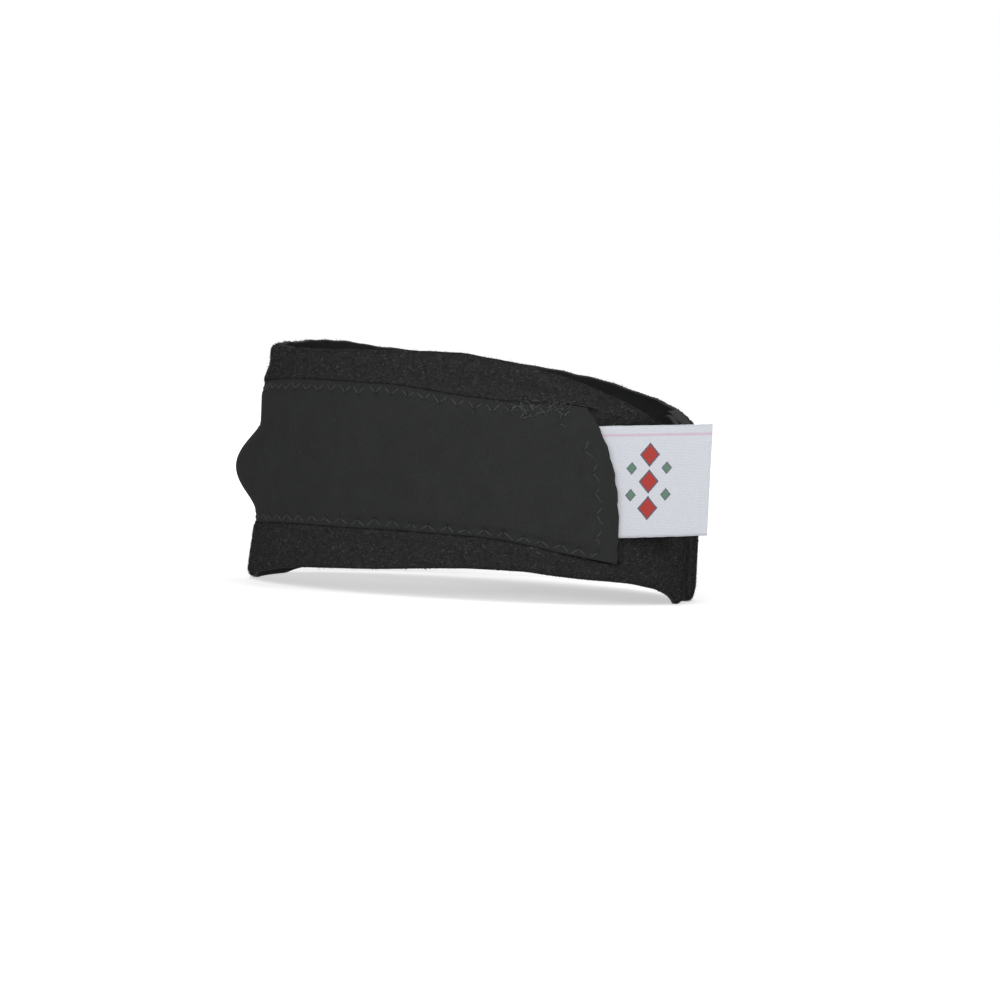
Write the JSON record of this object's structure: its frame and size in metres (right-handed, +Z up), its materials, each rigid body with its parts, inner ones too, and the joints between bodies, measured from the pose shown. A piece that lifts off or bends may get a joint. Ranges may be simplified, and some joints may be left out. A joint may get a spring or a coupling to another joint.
{
  "type": "patella strap",
  "caption": "Closed knee strap: a plush foam band lapped at the back, a sewn smooth cover over a foam roll at the front, and a small woven flag label.",
  "frame": {"origin": "under the middle of the closed strap, at the height of its lower rim, which stands on the surface", "axes": "+Z up along the way the leg goes through; -Y to the front with the pad; +X to the side with the label"},
  "size_m": [0.1154, 0.1434, 0.0701],
  "materials": {
    "plush_foam": "loop pile on foam",
    "smooth_cloth": "smooth stretch knit on foam",
    "pad_foam": "matte closed-cell foam",
    "woven_label": "fine satin weave",
    "hook_tape": "moulded hooks"
  },
  "bodies": {
    "root": {"band": "plush_foam", "cover": "smooth_cloth", "tendon_pad": "pad_foam", "label": "woven_label", "hook_patch": "hook_tape"}
  },
  "joints": []
}
